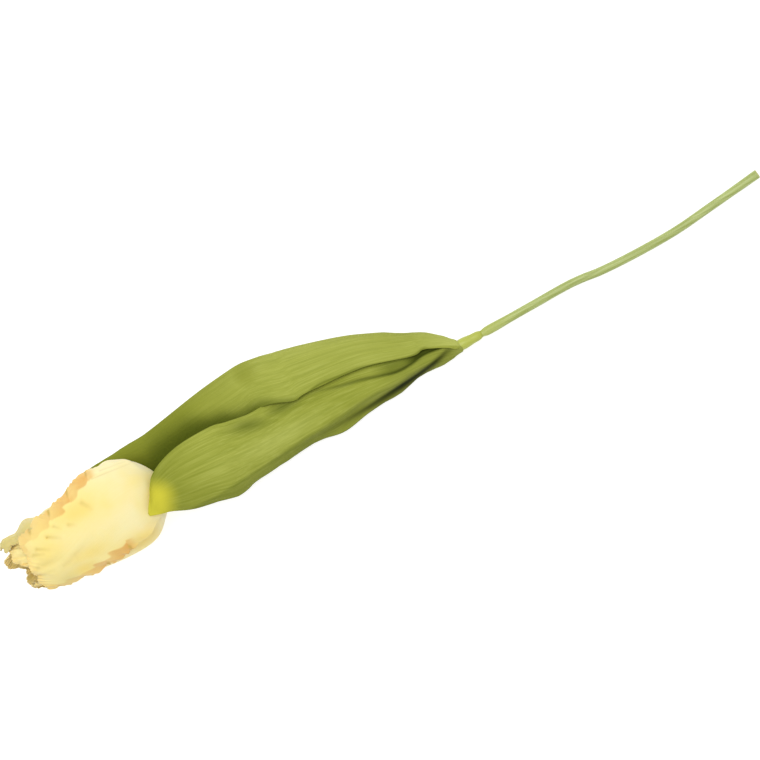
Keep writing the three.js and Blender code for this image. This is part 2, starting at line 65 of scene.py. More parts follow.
# Lines across the leaves from collar to tip, each from the upper margin to the lower one
REAR_LEAF = [
    [(47, -12.9, 11.1), (46.8, -11.4, 11.6), (46.6, -9.8, 11.4), (46.4, -8.4, 10.4), (46.2, -7.6, 9),
     (46, -7.4, 7.2)],
    section(43.6, (-12.2, 12.8), (-10.2, 13.2), (-8.2, 12.7), (-6.6, 11.3), (-5.6, 9.5), (-5.4, 7.4)),
    section(40, (-9.6, 14.2), (-6.8, 13.8), (-4.4, 12.4), (-2.6, 10.4), (-1.7, 8.1), (-2, 5.9)),
    section(33, (-6.2, 15.4), (-3.5, 14.9), (-0.6, 13.2), (1.8, 10.8), (3.5, 8.2), (4.4, 5.6)),
    section(26, (-3.8, 16.6), (-1.3, 16.1), (2.1, 14), (5.2, 11.1), (7.4, 7.9), (8.3, 5)),
    section(18, (-4.2, 17.6), (0.2, 17), (4.6, 14.8), (8.4, 11.4), (10.8, 7.6), (11.8, 4.4)),
    section(-10, (2.8, 20), (8.4, 18.8), (14, 16.4), (19, 12.2), (22.4, 7.4), (24, 3)),
    section(-45, (4.6, 23.6), (11, 21.6), (18, 18.4), (25, 13.6), (30.4, 7.4), (33.6, 1.2)),
    section(-55, (3.7, 23.6), (10.6, 21.4), (18, 18.2), (25.8, 13.4), (31.8, 7), (35.4, 0.8)),
    section(-66, (7.4, 22.6), (13, 20.8), (20.2, 17.8), (27.6, 13), (33.2, 6.6), (37, 0.4)),
    section(-75, (8.9, 20.2), (14.6, 19.4), (21.4, 16.8), (28.2, 12.4), (33.8, 6), (37.8, 0.3)),
    section(-84, (7, 13.6), (13, 15), (20, 15), (27, 11.8), (32.8, 5.8), (37, 0.2)),
    section(-105, (4, 6), (11, 8.4), (18, 10.2), (24.6, 9.6), (30, 5.4), (33.8, 0.2)),
    section(-138, (1.5, 1.6), (8, 3.2), (14.4, 5.2), (19.2, 5.6), (23.6, 3.4), (27, 0.4)),
    section(-150, (1.8, 0.8), (8, 2), (14, 3.8), (18, 4.2), (22, 2.8), (25.4, 0.4)),
    section(-174, (16.4, 1.2), (18, 1.6), (19.6, 2.1), (21.2, 2.1), (22.9, 1.4), (24.6, 0.5)),
    section(-189, (20.8, 1), (21.1, 1), (21.4, 0.9), (21.7, 0.9), (22, 0.8), (22.3, 0.8)),
]
FRONT_LEAF = [
    section(47.6, (-12.9, 11), (-13.3, 10.6), (-13.6, 10.1), (-13.9, 9.5), (-14.1, 8.7), (-14.1, 7.8),
            (-13.9, 6.6)),
    section(45, (-10.5, 11.7), (-12.1, 11.6), (-13.5, 10.8), (-14.7, 9.4), (-15.1, 7.7), (-14.5, 6.1),
            (-13.2, 5)),
    section(30, (-4.2, 12), (-6.8, 12.6), (-9, 13), (-11, 13.4), (-13.4, 12), (-15.6, 8.6), (-16.8, 5)),
    section(8, (2.2, 13.6), (-3, 15.2), (-7.8, 14.6), (-10.3, 15.6), (-13, 14), (-15.4, 8), (-18.6, 4.2)),
    section(-18, (8.2, 15.8), (2, 17.4), (-3, 17), (-9, 18.3), (-14, 16.8), (-17, 10), (-22.2, 5.5)),
    section(-36, (9.2, 16.8), (3.2, 18.6), (-1.8, 18.8), (-9, 20.2), (-16.2, 18.6), (-19.8, 12),
            (-25.6, 7.4)),
    section(-50, (9.6, 17.6), (4, 19.6), (-1, 20.2), (-9, 21.4), (-17.5, 19.5), (-21, 13), (-24, 8)),
    section(-66, (9.6, 18.4), (4, 21), (-1.5, 22.2), (-9.6, 23), (-18.3, 20.3), (-22.2, 14.5),
            (-24.4, 9.8)),
    section(-75, (9.2, 20.6), (4, 22.6), (-1.8, 23.8), (-9.8, 24.4), (-18.7, 21), (-23, 15.5),
            (-25.9, 10.9)),
    section(-84, (8.9, 22.6), (4, 24.2), (-2, 25.4), (-10, 25.8), (-19.2, 22), (-23.8, 17),
            (-26.9, 12.4)),
    section(-97, (10.7, 23.6), (5.4, 26), (-1, 27.8), (-9.6, 28), (-19, 24.2), (-24.6, 18.8),
            (-27.8, 14.2)),
    section(-108, (12.4, 25), (7, 28.2), (0, 30.3), (-9, 30.2), (-19, 26.6), (-26, 21), (-30.4, 16)),
    [(-131, 10.4, 31), (-132, 6, 34), (-133, 0, 36), (-134, -8, 36.6), (-135, -16, 34.5), (-135, -23, 30),
     (-134, -27.2, 25)],
    [(-148.6, 3, 43.6), (-150, -0.6, 45), (-151, -4.6, 45.9), (-152, -9, 46.3), (-152, -14, 45.4),
     (-151, -18.6, 42.6), (-148.6, -22, 38)],
    [(-155.6, -8, 51), (-156.8, -10, 51.4), (-157.6, -12, 51.5), (-158.2, -14.2, 51.3),
     (-158.2, -16.4, 50.6), (-157.4, -18.4, 49.4), (-155.6, -20.2, 47.4)],
    [(-161, -16.4, 52), (-161.1, -16.8, 52), (-161.2, -17.1, 51.9), (-161.2, -17.5, 51.8),
     (-161.2, -17.8, 51.6), (-161.1, -18.2, 51.4), (-161, -18.6, 51.2)],
]

# The bloom's axis, and the two cups that its petals lie on, as places along the axis and radii
BLOOM_BASE = np.array([-147, -4.8, 26.4])
BLOOM_MOUTH = np.array([-250, -11.8, 25.6])
OUTER_CUP = [
    (-0.5, 3.7), (0.8, 9), (4.5, 15.6), (9.5, 21.2), (16, 25.2), (25, 27.2), (38, 27), (53, 25.2),
    (67, 23.4), (81, 21.4), (92, 18), (100, 15), (108, 12),
]
INNER_CUP = [
    (2.3, 3.5), (4.4, 9), (9, 15.6), (15, 19.4), (25, 21.6), (38, 21.6), (53, 20.6), (67, 19.4),
    (81, 17.2), (92, 14), (100, 11.4), (108, 9),
]
CUP_STEPS = 1200
TWIST = 43  # the turn of the petals' ends round the axis
TWIST_ZONE = (15, 95)  # along the axis

# How far a half of a petal reaches round the bloom, from the petal's foot to its end
OUTER_SPAN = [55, 55, 57, 62, 63, 63, 62, 61, 58, 52, 45]
BOTTOM_SPAN = [66, 66, 66, 66, 65, 63, 62, 61, 58, 52, 45]
INNER_SPAN = [40, 43, 49, 53, 54, 54, 53, 52, 50, 45, 39]
FRONT_LEFT_SPAN = [55, 56, 60, 68, 74, 73, 72, 73, 76, 80, 74]
BESIDE_FRONT_SPAN = [55, 55, 57, 62, 63, 62, 57, 50, 42, 36, 36]
UNDER_FRONT_SPAN = [40, 43, 49, 53, 54, 54, 53, 53, 54, 54, 50]

# How far a margin stands out from its cup where its ruffle dips most and where it rises most
OVER_LEFT = (0.8, 2.4)
OVER_RIGHT = (2.4, 0.9)
TUCKED = (-1.4, -0.4)
LEVEL = (-0.7, 0.7)

# Short folds in the front petal's face: their two ends as x and y, depth, width, and the darkness of the
# painted shade in them
FOLDS = [
    ((-221.3, -2.4), (-219.9, -3), 0.7, 0.8, 0.9),
    ((-220.5, -2.6), (-213.8, -6.3), 0.9, 1.5, 0.4),
    ((-206.1, -1.5), (-202.4, -3.4), 0.6, 1.6, 0.3),
    ((-193.4, 6.6), (-189.7, 0.8), 0.8, 1.8, 0.35),
    ((-229.6, -6.2), (-223.2, -9.4), 0.7, 1.4, 0.4),
    ((-232.8, -8.5), (-227.2, -10.6), 0.6, 1.2, 0.35),
    ((-233.6, -16.7), (-218.6, -17), 1, 2.4, 0.25),
    ((-210, -20), (-196, -14), 0.6, 3, 0.12),
    ((-181.9, 16.3), (-157.2, 14.1), 0.3, 0.6, 0.3),
    ((-176, 18.4), (-160, 16.6), 0.2, 0.5, 0.25),
    ((-214.5, 1.5), (-211, -1.5), 0.5, 1.2, 0.3),
    ((-219, -22), (-207, -19), 0.5, 1.6, 0.15),
    ((-236, -20.5), (-226, -21.5), 0.5, 1.3, 0.25),
]

# What a petal has unless its own line says otherwise. The first of two values is for its left half,
# where u is below 0, and the second for its right half.
FORM = {
    "lobe_counts": (6.67, 6.67),  # lobes along the whole of a side
    "flares": (0, 0),  # how far the lobes half way along bend outwards
    "flare_to": (0.84, 0.97),  # where along the petal that fades
    "leans": (0, 0),  # how far the half stands out towards its end
    "dent": (0, 0.5, 1, 0, 1),  # depth, place and half length along, place and half width across
    "ripple": 0,  # height of the ripples near the end
    "rounding": (0.09, 0.09),  # share of the length by which the corner falls short
    "fold_lines": (0.76, 0.76),  # how far out the coloured margin begins
    "folds": (),
    # How much painted shade greys a petal towards its end
    "shaded_end": 0,
}
OUTER = {**FORM, "cup": OUTER_CUP, "spans": (OUTER_SPAN, OUTER_SPAN), "warmth": (1, 1)}
INNER = {**FORM, "cup": INNER_CUP, "spans": (INNER_SPAN, INNER_SPAN), "margins": (LEVEL, LEVEL),
         "warmth": (0.3, 0.3)}

# Each petal with its angle round the bloom, its length as reach, and where in a lobe its sides begin
PETALS = [
    {**OUTER, "name": "petal_outer_1", "angle": 78, "reach": 104, "seed": 11,
     "margins": (OVER_LEFT, OVER_RIGHT), "spans": (FRONT_LEFT_SPAN, OUTER_SPAN),
     "lobes": (0.87, 0.065), "lobe_counts": (6.67, 6.36), "rounding": (0.03, 0.03),
     "flares": (2.9, 0.3), "flare_to": (0.5, 0.66), "leans": (0, -0.8),
     "fold_lines": (0.68, 0.73), "folds": FOLDS},
    {**OUTER, "name": "petal_outer_2", "angle": -34, "reach": 114.5, "seed": 23,
     "margins": (LEVEL, TUCKED), "spans": (BOTTOM_SPAN, BESIDE_FRONT_SPAN),
     "lobes": (0.2, 0.6), "rounding": (0.09, 0.03), "flares": (2, 0), "leans": (2, 0.9),
     "dent": (2.8, 0.63, 0.15, 0.15, 0.5), "ripple": 1.3, "warmth": (0.3, 0.1), "shaded_end": 0.85},
    {**OUTER, "name": "petal_outer_3", "angle": 190, "reach": 111, "seed": 37,
     "margins": (TUCKED, LEVEL), "spans": (OUTER_SPAN, BOTTOM_SPAN),
     "lobes": (0.5, 0.1), "flares": (0, 2), "dent": (1.8, 0.17, 0.07, -0.2, 0.5)},
    {**INNER, "name": "petal_inner_1", "angle": 18, "reach": 105, "seed": 41,
     "spans": (UNDER_FRONT_SPAN, INNER_SPAN), "lobes": (0.3, 0.8), "leans": (2.2, 0)},
    {**INNER, "name": "petal_inner_2", "angle": 138, "reach": 103, "seed": 59, "lobes": (0.7, 0.4)},
    {**INNER, "name": "petal_inner_3", "angle": 258, "reach": 111, "seed": 67, "lobes": (0.1, 0.5)},
]

# A petal's grid, its lobes and its fringe
PETAL_ROWS = 241
PETAL_COLUMNS = 91
COLUMN_CROWDING = 0.8  # below 1, the columns stand closer together at the sides
PETAL_THICKNESS = 0.5
THINNING = 0.5  # at the margins of petals and leaves, as a share of the thickness
LOBES_ACROSS = 1.5  # of half a petal's end
LOBE_HEIGHT = 1
LOBE_ROUNDNESS = 0.7
TOOTH_HEIGHT = 0.6  # of the fringe, beyond the lobe's line
TOOTH_BEND = 0.35  # of a tooth to a side
TOOTH_TURNS = (40, 9)  # how fast the bends change along and across
TOOTH_POINTS = [(-0.35, -0.3), (0.25, 0.75), (0.1, 0.4)]  # fixed and random heights of a tooth's points
END_SQUARENESS = 2.4

# A petal's ruffle: slow waves over its face, and a finer one along its margins
WAVES = 3
WAVES_ACROSS = (1.2, 2.8)
WAVES_ALONG = (4, 9)
WAVE_GAIN = 1.5
END_RUFFLE = 1.2
FINE_RUFFLE = 0.45
FINE_WAVES = (21, 5)  # along and across
FINE_SHIFT = 3  # by the slow waves
RIPPLE_CREST = 0.82
RIPPLE_LENGTH = 0.15

# Where on a petal something begins and where it is full, from 0 at the foot or the middle line to 1
# at the end or the side
STAND_OUT_ALONG = (0.05, 0.22)
FRINGE_ALONG = (0.34, 0.48)
FOLDED_ALONG = (0.4, 0.46)
FLARE_ALONG = (0.42, 0.52)
LEAN_ALONG = (0.6, 1)
RIPPLE_ALONG = (0.64, 0.76)
THIN_ALONG = (0.8, 1)
END_ALONG = (0.84, 1)
LOBE_ALONG = (0.9, 1)
TOOTH_ALONG = (0.985, 1)
SIDE_ACROSS = (0.4, 1)
MARGIN_ACROSS = (0.7, 1)
NOTCH_ACROSS = (0.78, 0.92)
FINE_ACROSS = (0.8, 1)
TOOTH_ACROSS = (0.96, 1)
LEAN_ACROSS = (-0.4, 0.4)  # from the left half to the right one

# A petal's colours: the folded margin, painted shade in the creases between lobes, and patches seen from
# above, some of them painted shade
FOLD_LINE_WAVE = 0.06
FOLD_LINE_SCALE = (2.3, 1.3)  # of its waves across and along
FOLD_LINE_SLANT = 0.04  # from one crease to the next
FOLD_LINE_EDGE = (-0.012, 0.03)
WARMTH_IN_LOBE = 0.3  # lost from one crease to the next
WARMTH_ALONG = 0.5  # lost towards the end
WARMTH_LOST = (0.6, 0.85)
END_WARMTH = 0.35
END_WARM_ALONG = (0.95, 1)
# Painted shade in the creases between the lobes of a petal's margin
NOTCH_DARKNESS = 0.75
NOTCH_LOBE = (0.1, 0.45)  # how high the lobe is where the crease is dark and where it is gone
# Where along a petal that painted shade begins and is full
GREY_SHADE_ALONG = (0.55, 0.9)
FRONT_FACE = 34  # the least height of the front petal's face that the folds lie in
# A fold's painted shade fades along it and covers part of its width
FOLD_FADING = 0.7  # how much of a fold is lost from its one end to the other
FOLD_DARK_PART = 0.8  # of a fold's width
PATCH_HEIGHTS = (14, FRONT_FACE)  # where patches begin and are full
# Patches of deeper yellow, part the petal's own tone and part painted shading of its face, as the middle,
# the half lengths along X and Y, and the strength
WARM_PATCHES = [
    ((-198, 3), (16, 8), 0.65),
    ((-222, -10), (12, 7), 0.38),
    ((-193, 0), (34, 10), 0.35),
    ((-205, -22), (14, 5), 0.4),
    ((-171, -29), (14, 6), 0.7),
    ((-209, -28.5), (9, 4), 0.6),
]
# A painted shadow where a margin folds under near the front petal's end: the middle, the half lengths along
# X and Y, and the strength
GREY_SHADOW_PATCH = ((-222, -30), (7, 3.5), 0.36)


# Working out curves and soft steps

RANDOM_FACTOR = 1664525
RANDOM_STEP = 1013904223
RANDOM_RANGE = 2**32


def bell(distance, width):
    return np.exp(-((distance / width) ** 2))


def ease(x, low, high):
    """From 0 at the low end to 1 at the high end, smoothly"""
    t = np.clip((np.asarray(x, float) - low) / (high - low), 0, 1)
    return t * t * (3 - 2 * t)


def follow(x, table):
    """Values between those of a table of places and values"""
    places, values = zip(*table)
    return np.interp(x, places, values)


def spot(points, middle, halves, strength, slant=0):
    """A soft spot seen from above, with its half lengths along X and Y"""
    dx, dy = points[..., 0] - middle[0], points[..., 1] - middle[1]
    return strength * bell(np.hypot((dx + slant * dy) / halves[0], dy / halves[1]), 1)


def unit(v):
    return v / np.maximum(np.linalg.norm(v, axis=-1, keepdims=True), 1e-9)


def steps(count):
    return np.linspace(0, 1, count)


def turns(sides):
    """Angles all the way round, in radians"""
    return np.linspace(0, 2 * np.pi, sides, endpoint=False)


def smooth_curve(points, places, even=True):
    """Points on the smooth curve through given points, at places from 0 to 1. An uneven curve
    allows for the points' distances."""
    points = np.asarray(points, float)
    last = len(points) - 1
    padded = np.concatenate([2 * points[:1] - points[1:2], points, 2 * points[-1:] - points[-2:-1]])
    scaled = np.clip(places, 0, 1) * last
    low = np.minimum(scaled.astype(int), last - 1)
    shape = scaled.shape + (1,) * (points.ndim - 1)
    t = (scaled - low).reshape(shape)
    p0, p1, p2, p3 = (padded[low + k] for k in range(4))
    if even:
        d0 = d1 = d2 = 1
    else:
        d0, d1, d2 = (np.linalg.norm(b - a, axis=-1, keepdims=True) ** 0.5
                      for a, b in ((p0, p1), (p1, p2), (p2, p3)))
    m1 = d1 * ((p1 - p0) / d0 - (p2 - p0) / (d0 + d1) + (p2 - p1) / d1)
    m2 = d1 * ((p2 - p1) / d1 - (p3 - p1) / (d1 + d2) + (p3 - p2) / d2)
    return ((2 * t**3 - 3 * t**2 + 1) * p1 + (t**3 - 2 * t**2 + t) * m1
            + (3 * t**2 - 2 * t**3) * p2 + (t**3 - t**2) * m2)


def seeded_random(seed):
    state = seed
    while True:
        state = (state * RANDOM_FACTOR + RANDOM_STEP) % RANDOM_RANGE
        yield state / RANDOM_RANGE


def grid_normals(points):
    along = np.gradient(points, axis=0)
    across = np.gradient(points, axis=1)
    return unit(np.cross(along, across))


# Making objects

def add_object(name, data):
    made = bpy.data.objects.new(name, data)
    bpy.context.scene.collection.objects.link(made)
    return made


def make_piece(name, vertices, faces, material, slot, solid):
    """A piece that takes the place of a solid"""
    mesh = bpy.data.meshes.new(name)
    mesh.from_pydata((np.asarray(vertices) + SHIFT) * MM, [], faces)
    mesh.materials.append(material)
    mesh.polygons.foreach_set("use_smooth", np.ones(len(mesh.polygons), bool))
    mesh.update()
    piece = add_object(name, mesh)
    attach(piece, "root")
    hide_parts(solid)
    return piece


def add_values(piece, name, values):
    attribute = piece.data.attributes.new(name, "FLOAT", "POINT")
    attribute.data.foreach_set("value", np.asarray(values, np.float32).ravel())


def grid_faces(height, width, start=0, flip=False):
    a = (np.arange(height - 1)[:, None] * width + np.arange(width - 1)[None, :]).ravel() + start
    quads = np.stack([a, a + width, a + width + 1, a + 1], 1)
    return (quads[:, ::-1] if flip else quads).tolist()


def make_sheet(name, points, thickness, material, slot, layers, solid):
    """A thin closed sheet from a grid of middle points, with a value per point for each named layer"""
    height, width = points.shape[:2]
    normals = grid_normals(points)
    half = np.broadcast_to(np.asarray(thickness, float) / 2, (height, width))
    points = points.copy()
    points[..., 2] = np.maximum(points[..., 2], TABLE + half)
    top, under = points + normals * half[..., None], points - normals * half[..., None]
    vertices = np.concatenate([top.reshape(-1, 3), under.reshape(-1, 3)])
    vertices[:, 2] = np.maximum(vertices[:, 2], TABLE)
    n = height * width
    faces = grid_faces(height, width) + grid_faces(height, width, n, True)
    rim = list(range(width))
    rim += [i * width + width - 1 for i in range(1, height)]
    rim += [(height - 1) * width + j for j in range(width - 2, -1, -1)]
    rim += [i * width for i in range(height - 2, 0, -1)]
    faces += [(a, b, b + n, a + n) for a, b in zip(rim, rim[1:] + rim[:1])]
    piece = make_piece(name, vertices, faces, material, slot, solid)
    for key, values in layers.items():
        add_values(piece, key, np.concatenate([values.ravel(), values.ravel()]))
    add_values(piece, "inner", np.concatenate([np.zeros(n), np.ones(n)]))


# Materials, with their colours as the eye reads them, from 0 to 255

PETAL_COLOURS = {
    "foot": (248, 235, 188),
    "face": (252, 232, 166),
    "end": (248, 226, 150),
    "cloud": (250, 225, 140),
    # deeper yellow, part the petal's own tone and part painted shading
    "rich": (246, 206, 84),
    "vein": (240, 212, 128),
    "margin": (228, 170, 84),
    # painted shadow and painted shade
    "grey_shade": (200, 184, 112),
    # painted shade in creases and folds
    "crease_shade": (190, 156, 62),
    # painted light: a paler cream that lifts the shade inside the cup
    "lit inner face": (253, 246, 216),
    # the inner ends' gold, darkened with painted shade for the bloom's mouth
    "mouth": (192, 160, 72),
    "base": (214, 220, 150),
}
LEAF_COLOURS = {
    "darker": (143, 150, 54),
    "lighter": (158, 164, 70),
    "broad streak": (130, 139, 46),
    "vein": (178, 183, 92),
    "beside vein": (112, 122, 36),
    "dash": (182, 188, 98),
    "beside dash": (116, 126, 40),
    "pale": (200, 206, 116),
    "dull": (124, 130, 34),
    # Painted shade, and near black deep painted shade for the band under the front leaf's ridge and the
    # darkest creases and hollows
    "shade": (72, 84, 14),
    "deep": (24, 32, 0),
    "glow": (207, 200, 62),
}
STEM_COLOURS = {
    "darker": (150, 162, 86),
    "lighter": (175, 187, 117),
    "glow": (176, 182, 66),
    "cut": (196, 190, 130),
}
GRAINED = [  # name, darker and lighter colour, roughness, and scale of the grain
    ("pistil_green", (164, 180, 98), (196, 206, 134), 0.5, 200),
    ("stigma_cream", (206, 196, 120), (232, 222, 158), 0.7, 500),
    ("filament_cream", (206, 200, 124), (228, 218, 150), 0.6, 250),
    ("anther_ochre", (184, 142, 66), (226, 190, 96), 0.9, 700),
]


def node(tree, kind, inputs=None, **settings):
    made = tree.nodes.new("ShaderNode" + kind)
    for key, value in settings.items():
        setattr(made, key, value)
    for key, value in (inputs or {}).items():
        if isinstance(value, bpy.types.NodeSocket):
            tree.links.new(value, made.inputs[key])
        else:
            made.inputs[key].default_value = value
    return made


def srgb(*values):
    """A colour as the eye reads it, as the light it stands for"""
    linear = [(v / 255 / 12.92) if v <= 10.3 else ((v / 255 + 0.055) / 1.055) ** 2.4 for v in values]
    return (*linear, 1)


def layer(tree, name):
    return node(tree, "Attribute", attribute_name=name).outputs["Fac"]


def place_in_object(tree):
    return node(tree, "TexCoord").outputs["Object"]


def ramp(tree, value, low, high, to_low=0.0, to_high=1.0):
    made = node(tree, "MapRange", {"Value": value, "From Min": low, "From Max": high,
                                   "To Min": to_low, "To Max": to_high})
    return made.outputs["Result"]


def product(tree, a, b):
    return node(tree, "Math", {0: a, 1: b}, operation="MULTIPLY").outputs[0]


def noise(tree, vector, scale=1.0, detail=2.0, rough=0.5):
    made = node(tree, "TexNoise", {"Vector": vector, "Scale": scale, "Detail": detail, "Roughness": rough})
    return made.outputs["Fac"]


def streaks(tree, across_scale, along_scale, detail=2.0, rough=0.5):
    """Noise that is drawn out along a leaf or a petal"""
    x = product(tree, layer(tree, "across"), across_scale)
    y = product(tree, layer(tree, "along"), along_scale)
    return noise(tree, node(tree, "CombineXYZ", {"X": x, "Y": y}).outputs[0], 1.0, detail, rough)


def coats(tree, colours, first, *others):
    """The first of some named colours with others laid over it in turn, each after its strength"""
    colour = srgb(*colours[first])
    for strength, name in others:
        # The inputs 0, 6 and 7 of a mix of colours are its factor and its two colours
        inputs = {0: strength, 6: colour, 7: srgb(*colours[name])}
        colour = node(tree, "Mix", inputs, data_type="RGBA").outputs[2]
    return colour


def new_material(name, roughness):
    material = bpy.data.materials.new(name)
    material.use_nodes = True
    shader = material.node_tree.nodes["Principled BSDF"]
    shader.inputs["Roughness"].default_value = roughness
    return material, material.node_tree, shader


def cover(tree, shader, colour, bumps, strength, height):
    """Gives a shader its colour, and bumps of a height in metres"""
    tree.links.new(colour, shader.inputs["Base Color"])
    bump = node(tree, "Bump", {"Height": bumps, "Strength": strength, "Distance": height})
    tree.links.new(bump.outputs[0], shader.inputs["Normal"])


def let_light_in(shader, weight, depths):
    shader.inputs["Subsurface Weight"].default_value = weight
    shader.inputs["Subsurface Radius"].default_value = depths
    shader.inputs["Subsurface Scale"].default_value = 1.0


def petal_material():
    material, tree, shader = new_material("petal_cream", 0.7)
    place = place_in_object(tree)
    along, inner = layer(tree, "along"), layer(tree, "inner")
    blotches = ramp(tree, noise(tree, place, 70, 3), 0.35, 0.55, 0.7, 1)
    colour = coats(
        tree, PETAL_COLOURS, "foot",
        (ramp(tree, along, 0.08, 0.5), "face"),
        (ramp(tree, along, 0.5, 0.95), "end"),
        (ramp(tree, noise(tree, place, 38), 0.42, 0.66, 0, 0.75), "cloud"),
        # deeper yellow, part the petal's own tone and part painted shading
        (layer(tree, "rich"), "rich"),
        (ramp(tree, streaks(tree, 40, 2.2, 3.0), 0.45, 0.75, 0, 0.16), "vein"),
        (product(tree, layer(tree, "margin"), blotches), "margin"),
        # painted shadow, and painted shade on a petal's far end
        (layer(tree, "grey_shade"), "grey_shade"),
        # painted shade in the creases and folds
        (layer(tree, "crease_shade"), "crease_shade"),
        # painted light: a paler cream that lifts the shade inside the cup
        (product(tree, inner, 0.8), "lit inner face"),
        # the inner ends' gold, darkened with painted shade for the bloom's mouth
        (product(tree, inner, ramp(tree, along, 0.7, 0.95, 0, 0.8)), "mouth"),
        (ramp(tree, along, 0.1, 0.0, 0, 0.35), "base"),
    )
    let_light_in(shader, 0.25, (0.003, 0.002, 0.001))
    shader.inputs["Sheen Weight"].default_value = 0.12
    cover(tree, shader, colour, streaks(tree, 90, 3), 0.35, 0.0004)
    return material


def leaf_material():
    material, tree, shader = new_material("leaf_green", 0.7)
    veins = streaks(tree, 62, 3.2, 4.0, 0.75)
    dashes = streaks(tree, 48, 15, 3.0, 0.65)
    colour = coats(
        tree, LEAF_COLOURS, "darker",
        (ramp(tree, noise(tree, place_in_object(tree), 22, 3), 0.36, 0.64), "lighter"),
        (ramp(tree, streaks(tree, 16, 1.1), 0.4, 0.66, 0, 0.45), "broad streak"),
        (ramp(tree, veins, 0.5, 0.7, 0, 0.34), "vein"),
        (ramp(tree, veins, 0.47, 0.3, 0, 0.32), "beside vein"),
        (ramp(tree, dashes, 0.5, 0.68, 0, 0.36), "dash"),
        (ramp(tree, dashes, 0.48, 0.32, 0, 0.3), "beside dash"),
        # The layers shade and deep are painted shade
        *((layer(tree, name), name) for name in ("pale", "dull", "shade", "deep", "glow")),
    )
    shader.inputs["Specular IOR Level"].default_value = 0.06
    cover(tree, shader, colour, streaks(tree, 110, 3), 0.5, 0.0004)
    return material


def stem_material():
    material, tree, shader = new_material("stem_green", 0.45)
    place = place_in_object(tree)
    long_way = node(tree, "Mapping", {"Vector": place, "Scale": (30, 900, 900)}).outputs[0]
    fibres = noise(tree, long_way)
    colour = coats(
        tree, STEM_COLOURS, "darker",
        (ramp(tree, fibres, 0.35, 0.68), "lighter"),
        (layer(tree, "glow"), "glow"),
        (layer(tree, "cut"), "cut"),
    )
    let_light_in(shader, 0.1, (0.002, 0.002, 0.001))
    cover(tree, shader, colour, fibres, 0.25, 0.0003)
    return material


def grained_material(name, darker, lighter, roughness, grain_scale):
    material, tree, shader = new_material(name, roughness)
    grain = noise(tree, place_in_object(tree), grain_scale, 3.0)
    colours = {"darker": darker, "lighter": lighter}
    colour = coats(tree, colours, "darker", (ramp(tree, grain, 0.35, 0.65), "lighter"))
    cover(tree, shader, colour, grain, 0.4, 0.0003)
    return material


# The bloom

axis = unit(BLOOM_MOUTH - BLOOM_BASE)
side = unit(np.cross(axis, [0, 0, 1]))
up = np.cross(side, axis)


def bloom_point(along, radius, angle):
    turn = np.radians(angle)
    return (BLOOM_BASE + np.multiply.outer(along, axis) + np.multiply.outer(radius * np.cos(turn), side)
            + np.multiply.outer(radius * np.sin(turn), up))


def on_cup(cup, distance):
    """The place along the axis and the radius, at a distance along a cup's curve"""
    curve = smooth_curve(cup, steps(CUP_STEPS))
    lengths = np.concatenate([[0], np.cumsum(np.linalg.norm(np.diff(curve, axis=0), axis=1))])
    return np.interp(distance, lengths, curve[:, 0]), np.interp(distance, lengths, curve[:, 1])


def petal_waves(random):
    waves = [(np.interp(next(random), (0, 1), WAVES_ACROSS), np.interp(next(random), (0, 1), WAVES_ALONG),
              2 * np.pi * next(random)) for _ in range(WAVES)]

    def at(u, v):
        total = sum(np.sin(2 * np.pi * (across * u + along * v) + phase) for across, along, phase in waves)
        return np.clip(WAVE_GAIN * total / WAVES, -1, 1)

    return at


def teeth(count, random):
    """The fringe's height along a margin: three points to a tooth, of random heights up to 1"""
    heights = []
    for k in range(count):
        fixed, varied = TOOTH_POINTS[k % len(TOOTH_POINTS)]
        heights.append(fixed + varied * next(random))
    return np.array(heights)


def lobed(place):
    """The height of round lobes side by side with sharp creases between them, from 0 to 1"""
    return np.abs(np.sin(np.pi * place)) ** LOBE_ROUNDNESS


def patch(points, *shape):
    """A soft spot on the upper side of the bloom"""
    return spot(points, *shape) * ease(points[..., 2], *PATCH_HEIGHTS)


def press_folds(points, folds):
    """How deep the folds press a face seen from above, and how dark their painted shade is"""
    depth = np.zeros(points.shape[:2])
    dark = np.zeros(points.shape[:2])
    for start, end, deep, wide, darkness in folds:
        start, end = np.array(start), np.array(end)
        run = end - start
        t = np.clip(((points[..., :2] - start) @ run) / (run @ run), 0, 1)
        near = np.linalg.norm(points[..., :2] - start - t[..., None] * run, axis=-1)
        fade = (1 - FOLD_FADING * t) * (points[..., 2] > FRONT_FACE)
        depth += deep * fade * bell(near, wide)
        dark = np.maximum(dark, darkness * fade * bell(near, FOLD_DARK_PART * wide))
    return depth, dark


